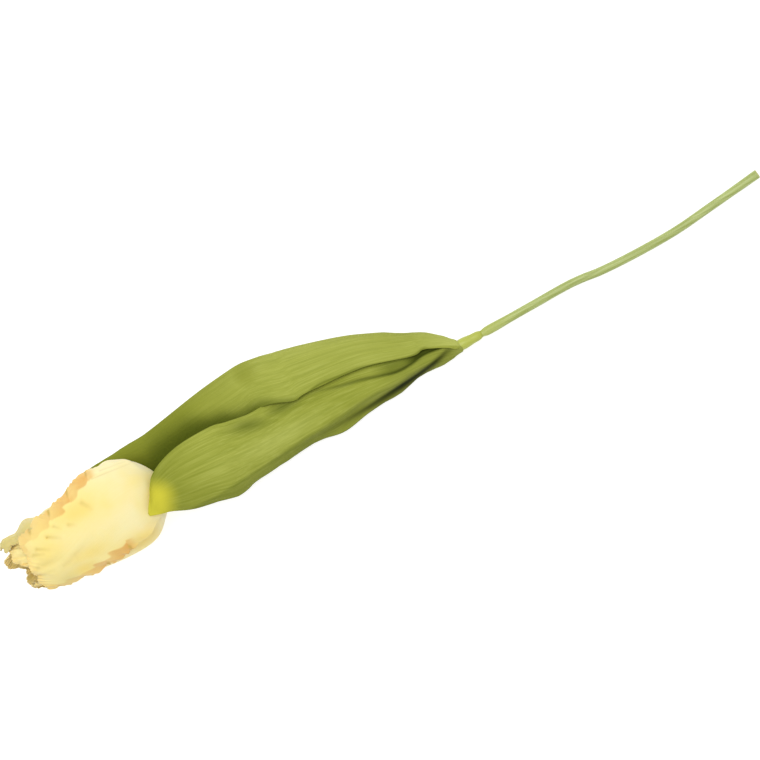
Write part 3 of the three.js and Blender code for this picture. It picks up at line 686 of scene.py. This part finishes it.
class Petal:
    """One petal as a grid of points: v runs along it from 0 at its foot to 1 at its end, and u
    across it from -1 to 1. Its random draws come in one order: ruffle, left side, right side, end."""

    def __init__(self, form):
        random = seeded_random(form["seed"])
        self.form = form
        self.ruffle = petal_waves(random)
        side_teeth = [teeth(PETAL_ROWS, random)[:, None] for _ in range(2)]
        self.end_teeth = teeth(PETAL_COLUMNS, random)[None, :]
        column = np.linspace(-1, 1, PETAL_COLUMNS)[None, :]
        crowded = np.sign(column) * np.abs(column) ** COLUMN_CROWDING
        self.v, self.u = np.broadcast_arrays(steps(PETAL_ROWS)[:, None], crowded)
        self.size = np.abs(self.u)
        self.side_teeth = self.by_side(side_teeth)
        self.fringed = ease(self.v, *FRINGE_ALONG)
        self.lobe_place = self.v * self.by_side(form["lobe_counts"]) + self.by_side(form["lobes"])
        self.side_lobe = lobed(self.lobe_place)

    def by_side(self, pair):
        """The first of two values on the left half, the second on the right half"""
        return np.where(self.u < 0, pair[0], pair[1])

    def fringe(self):
        """How far the lobes and teeth go past the sides' and the end's plain lines"""
        end_lobe = lobed(self.u * LOBES_ACROSS + self.form["lobes"][0])
        sides = self.fringed * (
            LOBE_HEIGHT * (2 * self.side_lobe - 1) * ease(self.size, *MARGIN_ACROSS)
            + TOOTH_HEIGHT * self.side_teeth * ease(self.size, *TOOTH_ACROSS))
        end = self.fringed * (
            LOBE_HEIGHT * (2 * end_lobe - 1) * ease(self.v, *LOBE_ALONG)
            + TOOTH_HEIGHT * self.end_teeth * ease(self.v, *TOOTH_ALONG))
        return sides, end

    def standing_out(self):
        """How far the ruffled and flared margins stand out from the cup"""
        v, size = self.v, self.size
        waves = self.ruffle(self.u, v)
        low, high = (self.by_side(pair) for pair in zip(*self.form["margins"]))
        side_share = ease(size, *SIDE_ACROSS)
        end_share = ease(v, *END_ALONG) * (1 - side_share)
        stand_out = low + (high - low) * (waves + 1) / 2
        flare = (self.by_side(self.form["flares"]) * ease(size, *MARGIN_ACROSS)
                 * ease(v, *FLARE_ALONG) * (1 - ease(v, *self.form["flare_to"])) * self.side_lobe)
        sides = side_share * ease(v, *STAND_OUT_ALONG) * stand_out
        return sides + end_share * END_RUFFLE * waves + flare

    def pressed_in(self):
        """How far a dent and ripples go in"""
        depth, at_v, half_length, at_u, half_width = self.form["dent"]
        dent = depth * bell(self.v - at_v, half_length) * bell(self.u - at_u, half_width)
        ripples = np.cos(2 * np.pi * (self.v - RIPPLE_CREST) / RIPPLE_LENGTH)
        return dent - self.form["ripple"] * ripples * ease(self.v, *RIPPLE_ALONG)

    def fine_ruffle(self):
        edge = np.maximum(ease(self.size, *FINE_ACROSS) * self.fringed, ease(self.v, *LOBE_ALONG))
        waves = 2 * np.pi * (FINE_WAVES[0] * self.v + FINE_WAVES[1] * self.u)
        return FINE_RUFFLE * edge * np.sin(waves + FINE_SHIFT * self.ruffle(self.u, self.v))

    def bent_teeth(self):
        bend = TOOTH_BEND * np.maximum(ease(self.size, *TOOTH_ACROSS) * self.side_teeth,
                                       ease(self.v, *TOOTH_ALONG) * self.end_teeth)
        return bend * self.fringed * np.sin(TOOTH_TURNS[0] * self.v + TOOTH_TURNS[1] * self.u)

    def points(self):
        """The petal's points before its folds"""
        form, v, u = self.form, self.v, self.u
        side_fringe, end_fringe = self.fringe()
        length = form["reach"] * (1 - self.by_side(form["rounding"]) * self.size**END_SQUARENESS)
        along, radius = on_cup(form["cup"], v * length + end_fringe)
        lean = np.interp(u, LEAN_ACROSS, form["leans"]) * ease(v, *LEAN_ALONG)
        offset = self.standing_out() - self.pressed_in() + lean + self.fine_ruffle() + self.bent_teeth()
        turned = form["angle"] + TWIST * ease(along, *TWIST_ZONE)
        half_widths = [smooth_curve(span, v[:, 0])[:, None] for span in form["spans"]]
        fringe_angle = np.degrees(self.size * np.sign(u) * side_fringe / radius)
        return bloom_point(along, radius + offset, turned + (u * self.by_side(half_widths) + fringe_angle))

    def colours(self, points, fold_dark):
        """The strengths of the petal's colours, painted shade among them"""
        form, v, u, size = self.form, self.v, self.u, self.size
        lobe_part = self.lobe_place % 1
        folded = ease(v, *FOLDED_ALONG)
        waves = self.ruffle(FOLD_LINE_SCALE[0] * u, FOLD_LINE_SCALE[1] * v)
        fold_line = (self.by_side(form["fold_lines"]) + FOLD_LINE_WAVE * waves
                     + FOLD_LINE_SLANT * (0.5 - lobe_part))
        at_sides = ease(size - fold_line, *FOLD_LINE_EDGE) * folded
        margin = (at_sides * self.by_side(form["warmth"]) * (1 - WARMTH_IN_LOBE * lobe_part)
                  * (1 - WARMTH_ALONG * ease(v, *WARMTH_LOST)))
        margin = np.maximum(margin, END_WARMTH * ease(v, *END_WARM_ALONG))
        # Painted shade in the creases between lobes and in the folds
        notch = (1 - ease(self.side_lobe, *NOTCH_LOBE)) * ease(size, *NOTCH_ACROSS) * folded
        crease_shade = np.maximum(fold_dark, NOTCH_DARKNESS * notch)
        # Deeper yellow patches, part the petal's own tone and part painted shading
        rich = np.maximum.reduce([patch(points, *shape) for shape in WARM_PATCHES])
        # Painted shadow where a margin folds under, and painted shade on a far petal's end
        grey_shade = np.maximum(patch(points, *GREY_SHADOW_PATCH), form["shaded_end"] * ease(v, *GREY_SHADE_ALONG))
        return {"along": v, "across": u, "margin": margin, "crease_shade": crease_shade, "rich": rich, "grey_shade": grey_shade}

    def thickness(self):
        at_margin = np.maximum(ease(self.size, *MARGIN_ACROSS), ease(self.v, *THIN_ALONG))
        return PETAL_THICKNESS * (1 - THINNING * at_margin)


def make_petal(form, material):
    petal = Petal(form)
    points = petal.points()
    depth, dark = press_folds(points, form["folds"])
    points = points - grid_normals(points) * depth[..., None]
    name = form["name"]
    make_sheet(name + "_ruffled", points, petal.thickness(), material, "petal",
               petal.colours(points, dark), name)


# The leaves

LEAF_ROWS = 331
LEAF_COLUMNS = 73
LEAF_THICKNESS = 0.7
LEAF_END_THICKNESS = 0.3  # of the thickness, at the collar's end
LEAF_END_ALONG = (0, 0.03)
RIBS = 17
RIB_HEIGHT = 0.03
RIBS_FROM = (0, 0.1)
RIBS_TO = (0.9, 1)
UPPER_MARGIN = (0.1, 0)  # where across a leaf it becomes thinner
LOWER_MARGIN = (0.9, 1)
LOWER_HALF = (0.5, 0.85)  # where across a leaf the lower margin's waves begin and are full
LINE_STEPS = 200

# Lines that show on the leaves from above, as x and y
LEAF_BOUNDARY = [  # between the two leaves
    (48, -13.2), (42, -10), (33, -6), (30.5, -5.2), (26.5, -3.6), (22, -4.1), (17.5, -4), (11, -2.7),
    (4, -0.9), (-12, 3.4), (-25, 4.5), (-37, 5.6), (-47, 4.1), (-54, 3.6), (-63, 6), (-73, 10), (-81, 9.5),
    (-88, 9), (-96, 11.7), (-106, 12.8), (-116, 13.9), (-126, 12.3), (-137, 9.8), (-144, 6.6), (-149, 2.7),
]
FRONT_VALLEY = [
    (36, -7.2), (26, -6.3), (16, -7.9), (7, -8.3), (-3, -6.2), (-15, -3), (-27, -0.8), (-40, 2.4),
]
FRONT_BAND = [
    (46, -9.5), (39.4, -10.5), (32.8, -12.4), (26.6, -13.7), (17, -15.2), (3, -16.8), (-11, -18.4),
    (-25, -19.8), (-40, -20.6), (-60, -21),
]
FRONT_RIDGE = [
    (43, -9.6), (33, -11.2), (20, -11.6), (7, -11.5), (-7, -12.5), (-20, -13.5), (-35, -15.5),
    (-49, -17.6), (-63, -18.6), (-90, -22), (-120, -25),
]

# How far the lower margins wander along Y from the solids' smooth ones, as x and the move
FRONT_MARGIN_WAVE = [
    (-122, 0), (-116, -0.7), (-110, -1.4), (-104, -0.8), (-98, -1), (-90, -0.7), (-80, -0.1), (-68, -0.7),
    (-56, 0), (-44, -0.5), (-20, -0.3), (-8, -0.6), (-2, -1.4), (4, -1.6), (10, -0.6), (16, 0.7), (22, 0.8),
    (28, 0.1), (34, -1.2), (40, -1.3), (46, -0.2), (48, 0),
]
REAR_MARGIN_WAVE = [
    (-196, 0), (-190, -0.5), (-182, -1.1), (-174, -1.4), (-166, -1.1), (-160, -0.4), (-154, 0), (-62, 0),
    (-50, -0.7), (-40, -0.3), (0, 0), (10, 0.4), (16, -0.3), (22, -0.7), (34, -0.4), (46, 0),
]

# The rear leaf's colours, as x and the strength or the width
REAR_SHADE = [(-150, 0.85), (-105, 0.78), (-90, 0.66), (-72, 0.56), (-58, 0.4), (-44, 0)]
REAR_SHADE_WIDTH = [(-150, 15), (-120, 11), (-104, 6), (-80, 4.5), (-58, 3), (-44, 2)]
REAR_DULL = [(-190, 0.75), (-120, 0.75), (-88, 0.35), (-60, 0)]
REAR_DULL_SPOT = ((-75, 31), (9, 9), 0.6)
REAR_PALE = [(-60, 0.1), (-10, 0.15), (10, 0.1), (24, 0.15), (36, 0.32), (46, 0.5)]
REAR_PALE_ABOVE = (0.2, 1.5)  # from the line between the leaves
REAR_LINE_SHADE = 0.45  # of that line itself
REAR_LINE_WIDTH = 0.9
REAR_LINE_FROM = (-56, -40)
REAR_LINE_TO = (34, 24)
REAR_DEEP = 0.3  # of the shade where it is fullest

# The front leaf's colours: painted shade in the crease of its valley, a dark band of painted shade under
# its ridge, and the rest
VALLEY_DEPTH = [(-46, 0), (-30, 0.45), (-5, 0.7), (5, 1), (34, 1), (42, 0)]
CREASE_DARKNESS = [(0, 0.85), (14, 0.85), (22, 1.05)]
CREASE_WIDTH = 1.2
CREASE_SHADE = 0.9
CREASE_DEEP = 0.5
# How dark the band's painted shade is along x, and its widths
BAND_DARKNESS = [(-62, 0), (-40, 0.25), (-18, 0.75), (5, 1), (30, 0.9), (37, 0.6), (45, 0.3)]
BAND_OVER = 1.4  # its width to +Y of its line
BAND_UNDER = [(-20, 2.2), (-8, 3.6), (12, 3.6), (24, 2.2)]  # and to -Y
RIDGE_SHADE = [(-90, 0.38), (-60, 0.4), (-30, 0.22), (0, 0.2), (30, 0.3)]
UNDER_RIDGE = (0.6, -1.4)
# From the valley to the upper margin
VALLEY_SHADE = [(-8, 0), (4, 0.5), (14, 0.5), (20, 0.85), (34, 0.8), (40, 0.2)]
VALLEY_SHADE_ABOVE = (-0.6, 0.8)
VALLEY_DEEP = [(12, 0), (20, 0.5), (32, 0.5), (36, 0)]
VALLEY_DEEP_ABOVE = (-0.4, 0.6)
STRIP_SHADE = 0.16  # of the strip between the valley and the ridge
STRIP_ALONG = (-8, 8)
STRIP_BELOW = (0.2, -0.8)
EDGE_SHADE = 0.2
EDGE_WIDTH = 1.6
EDGE_ALONG = (40, 20)
# Hollows that dent the front leaf and hold painted shade: middle, half lengths, strength and slant
HOLLOWS = [((-86, 3), (10, 5), 0.6, 1.2), ((-63, 3.6), (10, 3.4), 0.6)]
FRONT_DULL = 0.35
FRONT_DULL_ALONG = (-110, -140)
FRONT_PALE = 0.3
FRONT_PALE_ALONG = (38, 47)
FRONT_PALE_SPOT = ((-72, -12), (28, 6), 0.28)
VALLEY_FALL = 0.7
VALLEY_WIDTH = 1.1
HOLLOW_FALL = 0.8

# The glow at the front leaf's tip: its middle, the way across it, and where it begins and is full
FRONT_TIP = (-153.1, -10.5)
TIP_COS, TIP_SIN = 0.892, 0.451
TIP_NARROWNESS = 1.1
TIP_GLOW = (15.5, 2)


def leaf_grid(lines):
    lines = np.asarray(lines, float)
    across = smooth_curve(lines.transpose(1, 0, 2), steps(LEAF_COLUMNS)).transpose(1, 0, 2)
    return smooth_curve(across, steps(LEAF_ROWS))


def above_line(points, line):
    """How far points lie to +Y of a smooth line that shows from above"""
    xs, ys = smooth_curve(sorted(line), steps(LINE_STEPS), even=False).T
    return points[..., 1] - np.interp(points[..., 0], xs, ys)


def make_leaf(name, lines, margin_wave, tones, material, solid):
    """A leaf whose v runs along it from the collar to the tip and whose u runs across it from the
    upper margin to the lower one"""
    points = leaf_grid(lines)
    v, u = np.meshgrid(steps(LEAF_ROWS), steps(LEAF_COLUMNS), indexing="ij")
    points[..., 1] += follow(points[..., 0], margin_wave) * ease(u, *LOWER_HALF)
    ribs = RIB_HEIGHT * np.sin(2 * np.pi * RIBS * u) * ease(v, *RIBS_FROM) * (1 - ease(v, *RIBS_TO))
    rise, layers = tones(points)
    points = points + grid_normals(points) * (ribs + rise)[..., None]
    layers.update({"along": v, "across": u})
    at_margin = np.maximum(ease(u, *UPPER_MARGIN), ease(u, *LOWER_MARGIN))
    end_share = LEAF_END_THICKNESS + (1 - LEAF_END_THICKNESS) * ease(v, *LEAF_END_ALONG)
    thickness = LEAF_THICKNESS * (1 - THINNING * at_margin) * end_share
    make_sheet(name, points, thickness, material, "leaf", layers, solid)


def rear_tones(points):
    """The rear leaf's rise out of its smooth form and the strengths of its colours, painted shade among
    them
    """
    x = points[..., 0]
    above = above_line(points, LEAF_BOUNDARY)
    shade = follow(x, REAR_SHADE) * bell(np.maximum(above, 0), follow(x, REAR_SHADE_WIDTH))
    line = ease(x, *REAR_LINE_FROM) * ease(x, *REAR_LINE_TO) * bell(above, REAR_LINE_WIDTH)
    shade = np.maximum(shade, REAR_LINE_SHADE * line)
    return 0 * x, {
        "shade": shade,
        "deep": REAR_DEEP * shade**2,
        "dull": np.maximum(follow(x, REAR_DULL), spot(points, *REAR_DULL_SPOT)),
        "glow": 0 * x,
        "pale": follow(x, REAR_PALE) * ease(above, *REAR_PALE_ABOVE),
    }


def front_tones(points):
    """The same for the front leaf"""
    x = points[..., 0]
    valley = above_line(points, FRONT_VALLEY)
    valley_depth = follow(x, VALLEY_DEPTH)
    crease_shade = bell(valley, CREASE_WIDTH) * valley_depth * follow(x, CREASE_DARKNESS)
    band = above_line(points, FRONT_BAND)
    band_width = np.where(band > 0, BAND_OVER, follow(x, BAND_UNDER))
    under_ridge = ease(above_line(points, FRONT_RIDGE), *UNDER_RIDGE)
    beside_edge = bell(above_line(points, LEAF_BOUNDARY), EDGE_WIDTH)
    valley_deep = follow(x, VALLEY_DEEP) * ease(valley, *VALLEY_DEEP_ABOVE)
    hollow = np.maximum.reduce([spot(points, *shape) for shape in HOLLOWS])
    shade = np.maximum.reduce([
        CREASE_SHADE * crease_shade,
        follow(x, RIDGE_SHADE) * under_ridge,
        hollow,
        EDGE_SHADE * beside_edge * ease(x, *EDGE_ALONG),
        follow(x, VALLEY_SHADE) * ease(valley, *VALLEY_SHADE_ABOVE),
        STRIP_SHADE * ease(x, *STRIP_ALONG) * ease(valley, *STRIP_BELOW),
    ])
    from_tip = points[..., :2] - FRONT_TIP
    across_tip = from_tip[..., 0] * TIP_COS - from_tip[..., 1] * TIP_SIN
    up_tip = from_tip[..., 0] * TIP_SIN + from_tip[..., 1] * TIP_COS
    rise = -VALLEY_FALL * bell(valley, VALLEY_WIDTH) * valley_depth - HOLLOW_FALL * hollow
    return rise, {
        "shade": shade,
        "deep": np.maximum.reduce([follow(x, BAND_DARKNESS) * bell(band, band_width), CREASE_DEEP * crease_shade,
                                   valley_deep]),
        "dull": FRONT_DULL * ease(x, *FRONT_DULL_ALONG),
        "glow": ease(np.hypot(across_tip, TIP_NARROWNESS * np.maximum(up_tip, 0)), *TIP_GLOW),
        "pale": np.maximum(FRONT_PALE * ease(x, *FRONT_PALE_ALONG), spot(points, *FRONT_PALE_SPOT)),
    }


# Round things: tubes along a route, and turned bodies

def closed_rings(rings):
    """Vertices and faces of a closed body from its rings of points"""
    rows, sides = rings.shape[:2]
    faces = []
    for i in range(rows - 1):
        for j in range(sides):
            a, b = i * sides + j, i * sides + (j + 1) % sides
            faces.append((a, a + sides, b + sides, b))
    faces.append(tuple(range(sides)))
    faces.append(tuple(reversed(range((rows - 1) * sides, rows * sides))))
    return rings.reshape(-1, 3), faces


def tube(route, radii, sides):
    """A closed tube along the points of a route, with a radius for each point, or for each point
    and side"""
    tangents = unit(np.gradient(route, axis=0))
    right = unit(np.cross(tangents, [0, 0, 1]))
    above = np.cross(right, tangents)
    turn = turns(sides)
    ring = np.cos(turn)[None, :, None] * right[:, None] + np.sin(turn)[None, :, None] * above[:, None]
    radii = radii.reshape(len(route), -1)
    return closed_rings(route[:, None] + ring * radii[..., None])


def join(bodies):
    vertices, faces = [], []
    for more, their_faces in bodies:
        faces += [tuple(k + len(vertices) for k in face) for face in their_faces]
        vertices += more.tolist()
    return vertices, faces


# The stem, and the sheath of the rear leaf round it

STEM_STEPS = 580
STEM_SIDES = 28
STEM_WIDENINGS = [  # by how much, and from where to where along X
    (0.9, (-139, -146)),  # under the bloom
    (0.2, (225, 250)),  # at the cut end
]
STEM_BULGES = [  # by how much, where along X, and the half length
    (-0.6, 61.5, 1.8),  # the waist under the collar
    (0.3, 69, 8),
]
STEM_GLOW = (0.5, 55, 25)  # how yellow, where along X, and the half length
STEM_CUT = (249.8, 250)
SHEATH_FROM = 43
SHEATH_TO = 62
SHEATH_RADII = [2.8, 3, 3.4, 3.5, 3.4, 3.15, 2.95, 2.9, 2.75, 2.1]
SHEATH_GLOW = 0.8


def make_stem(route, material):
    x = route[:, 0]
    radii = np.full(len(route), STEM_RADIUS)
    for more, zone in STEM_WIDENINGS:
        radii = radii + more * ease(x, *zone)
    for more, middle, half_length in STEM_BULGES:
        radii = radii + more * bell(x - middle, half_length)
    vertices, faces = tube(route, radii, STEM_SIDES)
    vertices[:, 2] = np.maximum(vertices[:, 2], TABLE)
    stem = make_piece("stem_stalk", vertices, faces, material, "stem", "stem")
    glow, middle, half_length = STEM_GLOW
    add_values(stem, "glow", np.repeat(glow * bell(x - middle, half_length), STEM_SIDES))
    add_values(stem, "cut", np.repeat(ease(x, *STEM_CUT), STEM_SIDES))


def make_sheath(stem_route, material):
    x = stem_route[:, 0]
    route = stem_route[(x > SHEATH_FROM) & (x < SHEATH_TO)]
    x = route[:, 0]
    radii = smooth_curve(SHEATH_RADII, (x - x[0]) / (x[-1] - x[0]))
    vertices, faces = tube(route, radii, STEM_SIDES)
    sheath = make_piece("leaf_rear_sheath", vertices, faces, material, "leaf", "leaf_rear")
    add_values(sheath, "glow", np.full(len(vertices), SHEATH_GLOW))


# The pistil and the stamens. Feet and tips are places along the bloom's axis and out from it.

BODY_PART = (0.01, 0.99)  # of a rounded body's length, short of its closed ends
OVARY_LENGTH = (3.4, 31)
OVARY_RADII = [1.7, 2.1, 3.2, 3.4, 3.2, 2.5, 2.1]
OVARY_STEPS, OVARY_SIDES = 40, 36
OVARY_RIBS = 3
OVARY_RIB_HEIGHT = 0.07  # of the radius
OVARY_GROOVE_DEPTH = 0.04
STIGMA_FOOT, STIGMA_TIP = (30.6, 0.3), (31.6, 5)
STIGMA_RADIUS = 1.7
STIGMA_STEPS, STIGMA_SIDES = 22, 32
STIGMA_FRILL = 0.12  # of the radius
STIGMA_WAVE = 0.08
FILAMENT_FOOT = (3.8, 2.9)
FILAMENT_RUN = (12.6, 3.4)  # from foot to tip
FILAMENT_CURVE = 0.8
FILAMENT_RADIUS = 0.75
FILAMENT_TAPER = 0.3
FILAMENT_STEPS, FILAMENT_SIDES = 16, 12
ANTHER_FOOT, ANTHER_TIP = (15.2, 6), (28, 9.2)
ANTHER_TURN = 3
ANTHER_RADIUS = 1.15
ANTHER_STEPS, ANTHER_SIDES = 26, 24
ANTHER_LOBES = (0.72, 0.36)  # radius in the groove, and more on a lobe
ANTHER_GRAIN = 0.02
LOBE_ANGLES = [30 + 120 * k for k in range(3)]
STAMEN_ANGLES = [30 + 60 * k for k in range(6)]


def straight(start, end, count):
    return start + steps(count)[:, None] * (end - start)


def make_ovary():
    along = np.linspace(*OVARY_LENGTH, OVARY_STEPS)
    radii = smooth_curve(OVARY_RADII, steps(OVARY_STEPS))[:, None]
    turn = OVARY_RIBS * turns(OVARY_SIDES)
    ribbed = radii * (1 + OVARY_RIB_HEIGHT * np.cos(turn) - OVARY_GROOVE_DEPTH * np.abs(np.sin(turn)))
    return tube(bloom_point(along, 0 * along, 0 * along), ribbed, OVARY_SIDES)


def make_stigma(angle):
    """A frilled lobe of the stigma"""
    t = np.linspace(*BODY_PART, STIGMA_STEPS)[:, None]
    turn = turns(STIGMA_SIDES)[None, :]
    frills = STIGMA_FRILL * np.cos(5 * turn + 9 * t)
    radii = STIGMA_RADIUS * np.sin(np.pi * t) ** 0.5 * (1 + frills + STIGMA_WAVE * np.sin(17 * t))
    route = straight(bloom_point(*STIGMA_FOOT, angle), bloom_point(*STIGMA_TIP, angle), STIGMA_STEPS)
    return tube(route, radii, STIGMA_SIDES)


def make_filament(angle):
    t = steps(FILAMENT_STEPS)
    along = FILAMENT_FOOT[0] + FILAMENT_RUN[0] * t
    out = FILAMENT_FOOT[1] + FILAMENT_RUN[1] * t**FILAMENT_CURVE
    route = bloom_point(along, out, angle + 0 * t)
    return tube(route, FILAMENT_RADIUS - FILAMENT_TAPER * t, FILAMENT_SIDES)


def make_anther(angle):
    """An anther with two lobes and a groove between them"""
    t = np.linspace(*BODY_PART, ANTHER_STEPS)[:, None]
    turn = turns(ANTHER_SIDES)[None, :]
    groove, lobe = ANTHER_LOBES
    grain = ANTHER_GRAIN * np.sin(40 * t + 3 * turn)
    radii = ANTHER_RADIUS * np.sin(np.pi * t) ** 0.35 * (groove + lobe * np.abs(np.cos(turn))) + grain
    foot, tip = bloom_point(*ANTHER_FOOT, angle), bloom_point(*ANTHER_TIP, angle + ANTHER_TURN)
    return tube(straight(foot, tip, ANTHER_STEPS), radii, ANTHER_SIDES)


# The tulip itself

petal_look = petal_material()
leaf_look = leaf_material()
stem_look = stem_material()
for form in PETALS:
    make_petal(form, petal_look)
make_leaf("leaf_rear_blade", REAR_LEAF, REAR_MARGIN_WAVE, rear_tones, leaf_look, "leaf_rear")
make_leaf("leaf_front_blade", FRONT_LEAF, FRONT_MARGIN_WAVE, front_tones, leaf_look, "leaf_front")
stem_route = smooth_curve(STEM_ROUTE, steps(STEM_STEPS), even=False)
make_stem(stem_route, stem_look)
make_sheath(stem_route, stem_look)

pistil_look, stigma_look, filament_look, anther_look = (grained_material(*row) for row in GRAINED)
stigma = join(map(make_stigma, LOBE_ANGLES))
filaments = join(map(make_filament, STAMEN_ANGLES))
anthers = join(map(make_anther, STAMEN_ANGLES))
make_piece("pistil_ovary", *make_ovary(), pistil_look, "pistil", "pistil")
make_piece("pistil_stigma", *stigma, stigma_look, "pistil", "pistil")
make_piece("stamens_filaments", *filaments, filament_look, "stamen", "stamens")
make_piece("stamens_anthers", *anthers, anther_look, "stamen", "stamens")


# The studio: a white table under a white sky, with one soft light from the photograph's upper left.
# Lengths are in metres here unless a line says otherwise.

PHOTO_MIDDLE = (-4.525, -8.29)  # mm
PHOTO_TURN = -26.84
VIEW_WIDTH = 0.4484
VIEW_LEVEL = 0.02  # the height at which the view is that wide
CAMERA_HEIGHT = 6
CAMERA_REACH = 100
SENSOR = 36  # mm
FLOOR_HALF = 9
FLOOR_GREY = 0.5
FLOOR_GLOW = 0.7
SKY_STRENGTH = 0.6
SUN_STRENGTH = 1.9
SUN_SOFTNESS = 0.7
SUN_FROM = (-0.12, 0.24, 0.96)
WHITE = (1, 1, 1, 1)


def make_floor():
    corners = [(-1, -1), (1, -1), (1, 1), (-1, 1)]
    mesh = bpy.data.meshes.new("table")
    mesh.from_pydata([(x * FLOOR_HALF, y * FLOOR_HALF, 0) for x, y in corners], [], [(0, 1, 2, 3)])
    material, _, shader = new_material("white_table", 0.8)
    shader.inputs["Base Color"].default_value = (FLOOR_GREY, FLOOR_GREY, FLOOR_GREY, 1)
    shader.inputs["Emission Color"].default_value = WHITE
    shader.inputs["Emission Strength"].default_value = FLOOR_GLOW
    mesh.materials.append(material)
    return add_object("table", mesh)


def make_sky():
    sky = bpy.data.worlds.new("sky")
    sky.use_nodes = True
    background = sky.node_tree.nodes["Background"]
    background.inputs["Color"].default_value = WHITE
    background.inputs["Strength"].default_value = SKY_STRENGTH
    bpy.context.scene.world = sky


def make_sun():
    data = bpy.data.lights.new("key", "SUN")
    data.energy = SUN_STRENGTH
    data.angle = SUN_SOFTNESS
    sun = add_object("key", data)
    sun.rotation_mode = "QUATERNION"
    sun.rotation_quaternion = Vector(SUN_FROM).to_track_quat("Z", "Y")


def make_camera():
    data = bpy.data.cameras.new("camera")
    data.sensor_width = SENSOR
    data.lens = SENSOR * (CAMERA_HEIGHT - VIEW_LEVEL) / VIEW_WIDTH
    data.clip_end = CAMERA_REACH
    camera = add_object("camera", data)
    middle = Vector(((PHOTO_MIDDLE[0] + SHIFT[0]) * MM, (PHOTO_MIDDLE[1] + SHIFT[1]) * MM, 0))
    camera.location = middle + Vector((0, 0, CAMERA_HEIGHT))
    camera.rotation_euler = (0, 0, np.radians(PHOTO_TURN))
    bpy.context.scene.camera = camera


make_floor()
make_sky()
make_sun()
make_camera()
bpy.context.scene.view_settings.view_transform = "Standard"
